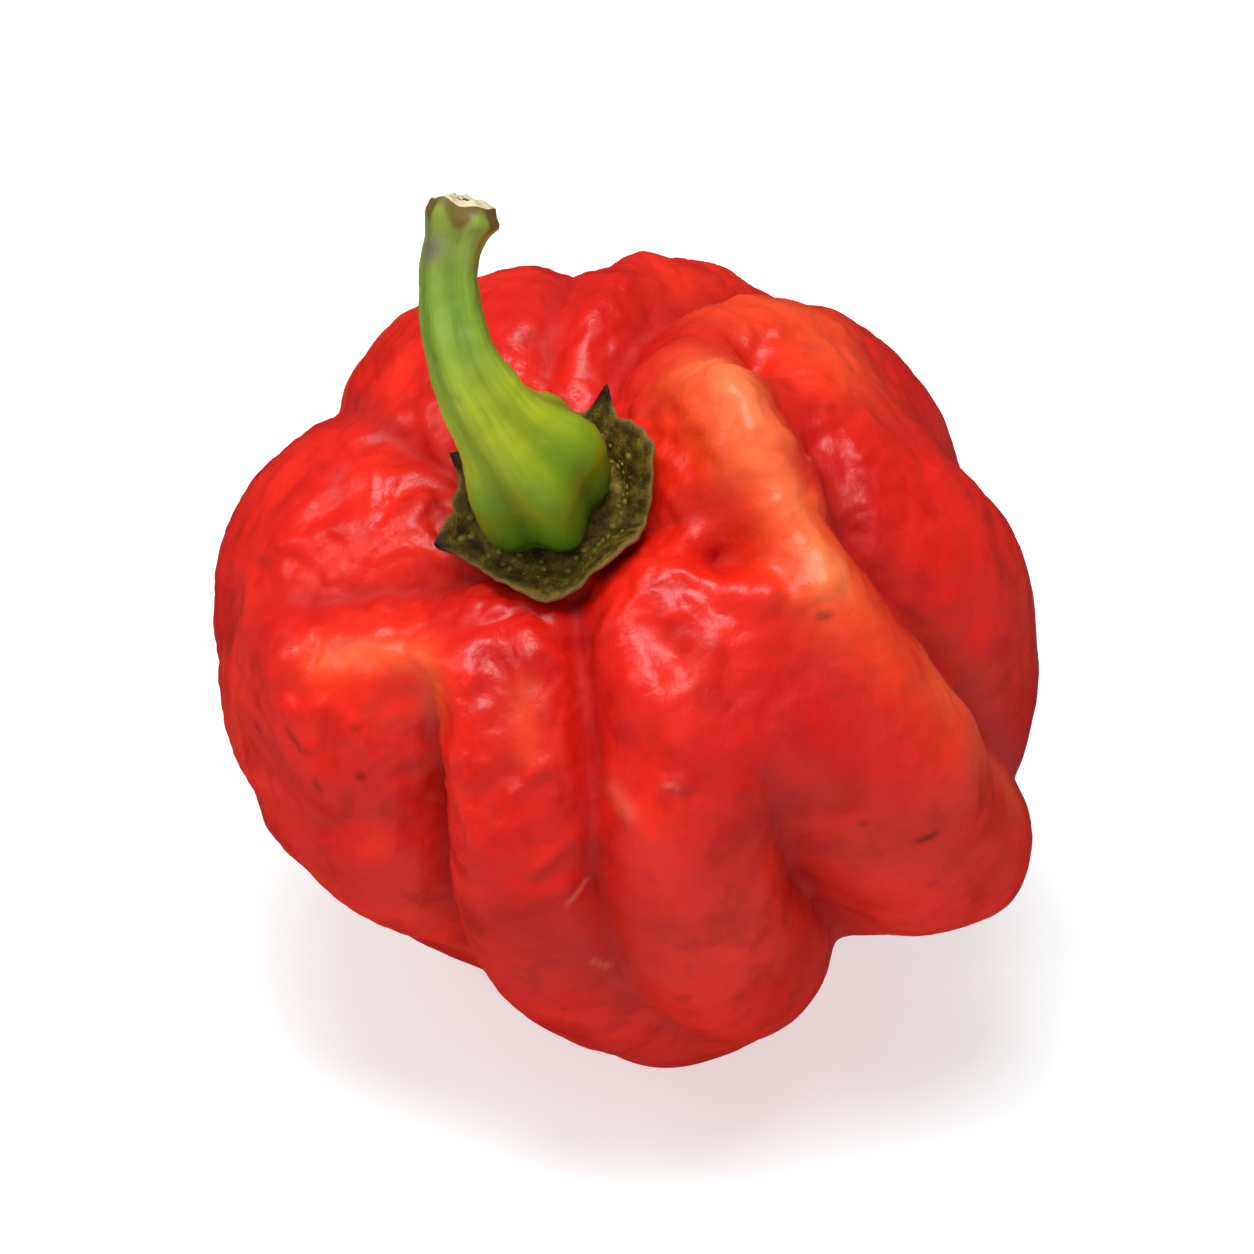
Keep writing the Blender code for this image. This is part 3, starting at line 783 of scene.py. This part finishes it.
def makeCalyx():
    c = calyxForm
    shares = np.linspace(c["firstRing"], 1.0, c["rings"])
    rings = [calyxRing(s, upper=False) for s in shares] + [calyxRing(s, upper=True) for s in shares[::-1]]
    points = np.concatenate(rings + [onAxis(calyxUnderHeight()), onAxis(calyxSeatHeight())])
    sides, last = c["sides"], 2 * c["rings"] - 1
    faces = []
    for i in range(sides):
        j = (i + 1) % sides
        for ring in range(last):
            a, b = ring * sides, (ring + 1) * sides
            faces.append((a + i, b + i, b + j, a + j))
        faces.append((i, j, len(points) - 2))
        faces.append((last * sides + j, last * sides + i, len(points) - 1))
    share = np.concatenate([np.repeat(shares, sides), np.repeat(shares[::-1], sides), [0.0, 0.0]])
    onTop = np.arange(len(points)) >= c["rings"] * sides
    raised = np.append(np.tile(calyxEdge(np.arange(sides) * 360.0 / sides)[1], 2 * c["rings"]), [0.0, 0.0])
    collar = rise(share, *calyxMarks["collarFrom"]) * (1.0 - rise(share, *calyxMarks["collarTo"]))
    calyx = newPiece("calyx_dish", points * mm, faces, {
        "toothTip": rise(raised, *calyxMarks["toothTipLift"]) * rise(share, *calyxMarks["toothTip"]),
        "rim": rise(share, *calyxMarks["rim"]),
        "collar": np.where(onTop, collar, 0.0),
    })
    bm = bmesh.new()
    bm.from_mesh(calyx.data)
    bmesh.ops.recalc_face_normals(bm, faces=bm.faces)
    bm.to_mesh(calyx.data)
    bm.free()
    warts = calyx.copy()
    warts.data = calyx.data.copy()
    warts.name = "calyx_warts"
    bpy.context.scene.collection.objects.link(warts)
    runTree(warts, wartTree(corkyWart()), wartSizes)
    calyx.data.materials.append(dryingCalyx())
    finishPiece(calyx, "calyx", "calyx")
    finishPiece(warts, "calyx")
    print("calyx:", len(calyx.data.vertices), "vertices, and its warts", len(warts.data.vertices))


makeCalyx()


# The stalk: five ribs, a swollen foot that sits in the dish, a bend, and a flared, dried end

stalkForm = {
    # millimetres from the middle of the calyx, in the scene's directions
    "route": [
        (-0.5, 0.0, -0.12), (-1.4, -2.0, 4.5), (-3.3, -2.0, 7.6), (-5.0, -0.8, 10.7), (-5.7, 1.8, 14.1),
        (-4.9, 4.1, 17.6),
    ],
    # share of the way to the tip: radius
    "radii": {
        0.0: 3.3, 0.04: 3.65, 0.1: 3.75, 0.18: 3.75, 0.26: 3.4, 0.33: 2.85, 0.4: 2.5, 0.5: 2.25, 0.6: 1.95,
        0.7: 1.72, 0.8: 1.58, 0.9: 1.62, 0.96: 1.95, 1.0: 1.8,
    },
    "stations": 90,
    "sunk": 0.3,  # how far the foot goes into the dish
    "knob": (0.45, 0.21, 0.05),  # height, share of the way, reach of the shoulder on its right
    "lip": (0.35, 0.96, 0.02),  # the same of the lump on the right of its end
    "torn": 0.08,  # how unevenly the end is cut off
    "tornFrom": 0.985,  # share of the way to the tip
    "cut": ((0.3, 0.1), (0.5, 0.2)),  # width and rise of each step of the cut end, rim first
}
stalkRibs = {
    "Sides": 90,
    "Ribs": 5.0,
    "Foot rib height": 0.12,  # shares of the radius
    "Shaft rib height": 0.05,
    "Foot end": 0.12,  # shares of the way to the tip
    "Shaft start": 0.4,
    "Twist": 0.12,  # turns from foot to tip
    "Knobble size": 1.9,
    "Knobble height": 0.4,
}
# where the colours of the stalk lie: shares of the way to the tip
stalkMarks = {
    # the valley mark is painted shade between the ribs: darkest at the foot, less on the shaft and at the
    # tip
    "valleyShade": 0.6,  # how dark the valleys between the ribs are at the foot
    "lessOnShaft": 0.2,
    "shaftFrom": (0.0, 0.4),
    "lessAtTip": 0.3,
    "tipFrom": (0.9, 0.98),
    "scuff": (0.87, 0.035),  # middle and reach
    "dried": (0.975, 1.005),
    "driedEarlier": 0.06,  # in a V down each valley
    "driedShade": 0.9,
}


def stalkPoint(points, t):
    # on the smooth curve through the points, for t from 0 to 1
    at = min(t * (len(points) - 1), len(points) - 1.000001)
    i = int(at)
    u = at - i
    p1, p2 = points[i], points[i + 1]
    p0 = points[i - 1] if i > 0 else p1 * 2 - p2
    p3 = points[i + 2] if i + 2 < len(points) else p2 * 2 - p1
    curve = 2 * p1 + (p2 - p0) * u + (2 * p0 - 5 * p1 + 4 * p2 - p3) * u**2
    return 0.5 * (curve + (3 * p1 - p0 - 3 * p2 + p3) * u**3)


def stalkTree(material):
    # sweeps a circle along the route, then raises ribs and knobbles along the normal
    tree, size = newGeometryTree("ribbedStalk", stalkRibs)
    radius, along = markInGeometry(tree, "stalkRadius"), markInGeometry(tree, "along")
    route = addNode(tree, "GeometryNodeMeshToCurve", {}, {"Mesh": size["Geometry"]}).outputs[0]
    unit = {"Resolution": size["Sides"], "Radius": 1.0}
    circle = addNode(tree, "GeometryNodeCurvePrimitiveCircle", {}, unit).outputs["Curve"]
    profile = addNode(tree, "GeometryNodeStoreNamedAttribute", {"data_type": "FLOAT"}, {
        "Geometry": circle, "Name": "around",
        "Value": addNode(tree, "GeometryNodeSplineParameter").outputs["Factor"],
    }).outputs[0]
    swept = addNode(tree, "GeometryNodeCurveToMesh", {}, {
        "Curve": route, "Profile Curve": profile, "Scale": radius, "Fill Caps": True,
    })
    twist = calculate(tree, "MULTIPLY", along, size["Twist"])
    turned = calculate(tree, "ADD", markInGeometry(tree, "around"), twist)
    angle = calculate(tree, "MULTIPLY", calculate(tree, "MULTIPLY", turned, size["Ribs"]), 2 * math.pi)
    shares = (size["Foot end"], size["Shaft start"])
    heights = (size["Foot rib height"], size["Shaft rib height"])
    height = mapRange(tree, along, shares, heights, smooth=True)
    rib = calculate(tree, "MULTIPLY", calculate(tree, "COSINE", angle), height)
    where = addNode(tree, "GeometryNodeInputPosition").outputs[0]
    noise = addNoise(tree, where, calculate(tree, "DIVIDE", 1 / mm, size["Knobble size"]), distortion=0.4)
    knobble = calculate(tree, "MULTIPLY", calculate(tree, "SUBTRACT", noise, 0.5), size["Knobble height"])
    inMetres = calculate(tree, "MULTIPLY", rib, radius), calculate(tree, "MULTIPLY", knobble, mm)
    ribbed = pushOut(tree, swept.outputs[0], calculate(tree, "ADD", *inMetres))
    smooth = addNode(tree, "GeometryNodeSetShadeSmooth", {}, {"Geometry": ribbed})
    endTree(tree, smooth.outputs[0], material)
    return tree


# Fresh chilli stalk: firm green tissue, satin rather than glossy. Long fibres show as fine streaks of
# darker and lighter green along it, and it dries to brown cork at its flared end.

def freshStalk():
    material, tree, shader = newMaterial("fresh_green_stalk")
    mark = {name: markInShader(tree, name) for name in ("along", "around", "valley", "scuff", "dry")}
    base = addRamp(tree, mark["along"], (
        (0.0, "#2C4A04"), (0.07, "#456806"), (0.15, "#5E7E08"), (0.25, "#86980C"), (0.34, "#A6AC18"),
        (0.48, "#A8B022"), (0.6, "#8CA032"), (0.75, "#7C9634"), (0.92, "#8C9440"),
    ))
    # fibres: noise drawn out along the stalk, on a circle so that it meets itself
    turn = calculate(tree, "MULTIPLY", mark["around"], 2 * math.pi)
    ring = addNode(tree, "ShaderNodeCombineXYZ", {}, {
        "X": calculate(tree, "COSINE", turn), "Y": calculate(tree, "SINE", turn), "Z": mark["along"],
    })
    fibres = addNoise(tree, ring.outputs[0], 5.0, 4.0, 0.6)
    streaked = paintOver(tree, mapRange(tree, fibres, (0.35, 0.7), (0.0, 0.55)), base, "#668A0C")
    # painted shade in the valleys between the ribs
    valleyShadePainted = paintOver(tree, mark["valley"], streaked, "#446606")
    scuffed = paintOver(tree, mark["scuff"], valleyShadePainted, "#6D6552")
    dried = paintOver(tree, mark["dry"], scuffed, "#6A4E22")
    fillInputs(tree, shader, {
        "Base Color": dried, "Normal": addBump(tree, fibres, 0.5, 0.15 * mm),
        "Roughness": 0.42, "IOR": 1.42,
        "Subsurface Weight": 0.08, "Subsurface Radius": (0.5, 1.0, 0.1), "Subsurface Scale": 0.8 * mm,
    })
    return material


def driedCut():
    # the torn end of the stalk, dried to cream-coloured pith with browner fibre ends
    material, tree, shader = newMaterial("dried_cut_pith")
    fibreEnds = addNoise(tree, onPiece(tree), 1 / (0.5 * mm), 4.0)
    colour = paintOver(tree, fibreEnds, hexToLinear("#B79A62"), "#F3EACB")
    bump = addBump(tree, fibreEnds, 0.8, 0.2 * mm)
    fillInputs(tree, shader, {"Base Color": colour, "Normal": bump, "Roughness": 0.8})
    return material


def readMark(mesh, name):
    values = np.zeros(len(mesh.vertices), np.float32)
    mesh.attributes[name].data.foreach_get("value", values)
    return values.astype(float)


def readPoints(mesh):
    points = np.zeros(len(mesh.vertices) * 3, np.float32)
    mesh.vertices.foreach_get("co", points)
    return points.reshape(-1, 3).astype(float)


def shapeStalk(mesh, share, points):
    # the lopsided shoulder of the foot and the lump at the end, then the marks that its colours need
    along, around, found = readMark(mesh, "along"), readMark(mesh, "around"), readPoints(mesh)
    middle = np.stack([np.interp(along, share, points[:, k]) for k in range(3)], axis=1) * mm
    outward = found - middle
    outward /= np.maximum(np.linalg.norm(outward, axis=1), 1e-9)[:, None]
    for height, at, reach in (stalkForm["knob"], stalkForm["lip"]):
        side = smoothStep(outward[:, 0] + 0.1)  # to the right
        found = found + outward * (height * mm * np.exp(-(((along - at) / reach) ** 2)) * side)[:, None]
    turn = 2 * math.pi * (around + along * stalkRibs["Twist"])
    ahead = (points[-1] - points[-3]) / np.linalg.norm(points[-1] - points[-3])
    jag = np.sin(3 * turn + 0.5) + 0.6 * np.sin(7 * turn + 2.0)  # long and short teeth round the end
    torn = stalkForm["torn"] * mm * jag * rise(along, stalkForm["tornFrom"], 1.0)
    found = found + torn[:, None] * ahead
    mesh.vertices.foreach_set("co", found.astype(np.float32).ravel())
    m = stalkMarks
    shaft, tipped = rise(along, *m["shaftFrom"]), rise(along, *m["tipFrom"])
    scuffAt, reach = m["scuff"]
    leftFront = smoothStep(-outward[:, 0] * 1.5) * smoothStep(-outward[:, 1] + 0.5)
    valley = 0.5 - 0.5 * np.cos(stalkRibs["Ribs"] * turn)
    # the valley mark is painted shade between the ribs, darkest at the foot where they stand highest
    setMarks(mesh, {
        "valley": valley**2 * (m["valleyShade"] - m["lessAtTip"] * tipped - m["lessOnShaft"] * shaft),
        "scuff": np.exp(-(((along - scuffAt) / reach) ** 2)) * leftFront,
        "dry": m["driedShade"] * rise(along + m["driedEarlier"] * valley, *m["dried"]),
    })


def cutTip(mesh, direction):
    # the cut end, which the drying pith has swollen to a low dome
    bm = bmesh.new()
    bm.from_mesh(mesh)
    bm.faces.ensure_lookup_table()
    ends = [f for f in bm.faces if len(f.verts) == stalkRibs["Sides"]]
    tip = max(ends, key=lambda f: f.calc_center_median() @ direction)
    cut = [tip]
    for width, up in stalkForm["cut"]:
        size = {"thickness": width * mm, "depth": up * mm, "use_even_offset": True}
        cut += bmesh.ops.inset_region(bm, faces=[tip], **size)["faces"]
    for face in cut:
        face.material_index = 1
    bm.to_mesh(mesh)
    bm.free()


def makeStalk():
    s = stalkForm
    axis = Vector(leanOver() @ np.array([0.0, 0.0, 1.0]))
    foot = Vector(onAxis(calyxSeatHeight() + calyxForm["gap"])[0])
    route = [foot + Vector(p) for p in s["route"]]
    share = np.linspace(0.0, 1.0, s["stations"])
    points = [stalkPoint(route, t) for t in share]
    points[0] = points[0] - axis * s["sunk"]
    radius = np.interp(share, list(s["radii"]), list(s["radii"].values())) * mm
    steps = [(i, i + 1) for i in range(len(points) - 1)]
    stalk = newPiece("stalk", [p * mm for p in points], [], {"stalkRadius": radius, "along": share}, steps)
    runTree(stalk, stalkTree(freshStalk()), stalkRibs)
    shapeStalk(stalk.data, share, np.array(points))
    cutTip(stalk.data, (points[-1] - points[-3]).normalized())
    stalk.data.materials.append(driedCut())
    finishPiece(stalk, "stem", "stem")
    print("stalk:", len(stalk.data.vertices), "vertices")


makeStalk()


# Stage: floor, light and camera

stage = {
    "floorSize": 8.0,  # metres
    "floorColour": "#B4C4C4",
    "floorGlow": 0.6,  # the floor is a sheet lit from below, as on a light table
    "elevation": 38.0,  # degrees that the camera looks down
    "distance": 0.75,  # from the camera to the fruit's middle
    "frameWidth": 0.072,  # what the camera sees across, at the fruit
    "sensor": 36.0,
    "aimUp": 1.8 * mm,  # how far above the fruit's middle the frame is centred
    # the soft dome of light: share of the way up from straight below, and its colour
    "dome": ((0.0, "#202020"), (0.47, "#303030"), (0.52, "#6A6A6A"), (1.0, "#A4A4A4")),
}
lampTarget = (0.0, 0.0, 0.02)  # inside the fruit
lamps = {
    # place, width and depth, power in watts
    "key": ((-0.04, -0.07, 0.64), 0.38, 0.24, 3.8),
    "left": ((-0.4, -0.12, 0.42), 0.22, 0.22, 0.65),
    "fill": ((0.1, -0.6, 0.3), 0.7, 0.5, 0.4),
}


def aimAt(obj, target):
    obj.rotation_mode = "QUATERNION"
    obj.rotation_quaternion = (Vector(target) - obj.location).to_track_quat("-Z", "Y")


def makeStage():
    bpy.ops.mesh.primitive_plane_add(size=stage["floorSize"])
    floor = bpy.context.object
    floor.name = "floor"
    paper, tree, shader = newMaterial("white_sheet")
    fillInputs(tree, shader, {
        "Base Color": hexToLinear(stage["floorColour"]), "Roughness": 0.7,
        "Emission Color": (1.0, 1.0, 1.0, 1.0), "Emission Strength": stage["floorGlow"],
    })
    floor.data.materials.append(paper)
    floor.visible_glossy = False  # the wax doesn't mirror the floor
    for name, (where, wide, deep, power) in lamps.items():
        lamp = bpy.data.lights.new(name, "AREA")
        lamp.shape, lamp.size, lamp.size_y = "RECTANGLE", wide, deep
        lamp.energy = power
        holder = bpy.data.objects.new(name, lamp)
        holder.location = where
        aimAt(holder, lampTarget)
        bpy.context.scene.collection.objects.link(holder)
    world = bpy.data.worlds.new("studio")
    world.use_nodes = True
    sky = world.node_tree
    towards = addNode(sky, "ShaderNodeTexCoord").outputs["Generated"]
    height = addNode(sky, "ShaderNodeSeparateXYZ", {}, {0: towards}).outputs["Z"]
    up = calculate(sky, "MULTIPLY_ADD", height, 0.5, 0.5)
    fillInputs(sky, sky.nodes["Background"], {"Color": addRamp(sky, up, stage["dome"])})
    bpy.context.scene.world = world
    bpy.context.scene.view_settings.view_transform = "Standard"


def makeCamera():
    lens = bpy.data.cameras.new("camera")
    lens.sensor_width = stage["sensor"]
    lens.lens = stage["sensor"] * stage["distance"] / stage["frameWidth"]
    lens.clip_start = 0.01
    camera = bpy.data.objects.new("camera", lens)
    slope = math.radians(stage["elevation"])
    back = Vector((0.0, -math.cos(slope), math.sin(slope)))
    up = Vector((0.0, math.sin(slope), math.cos(slope)))
    aim = Vector(place * mm) + up * stage["aimUp"]
    camera.location = aim + back * stage["distance"]
    aimAt(camera, aim)
    bpy.context.scene.collection.objects.link(camera)
    bpy.context.scene.camera = camera


makeStage()
makeCamera()
print("stage, lamps and camera in place")
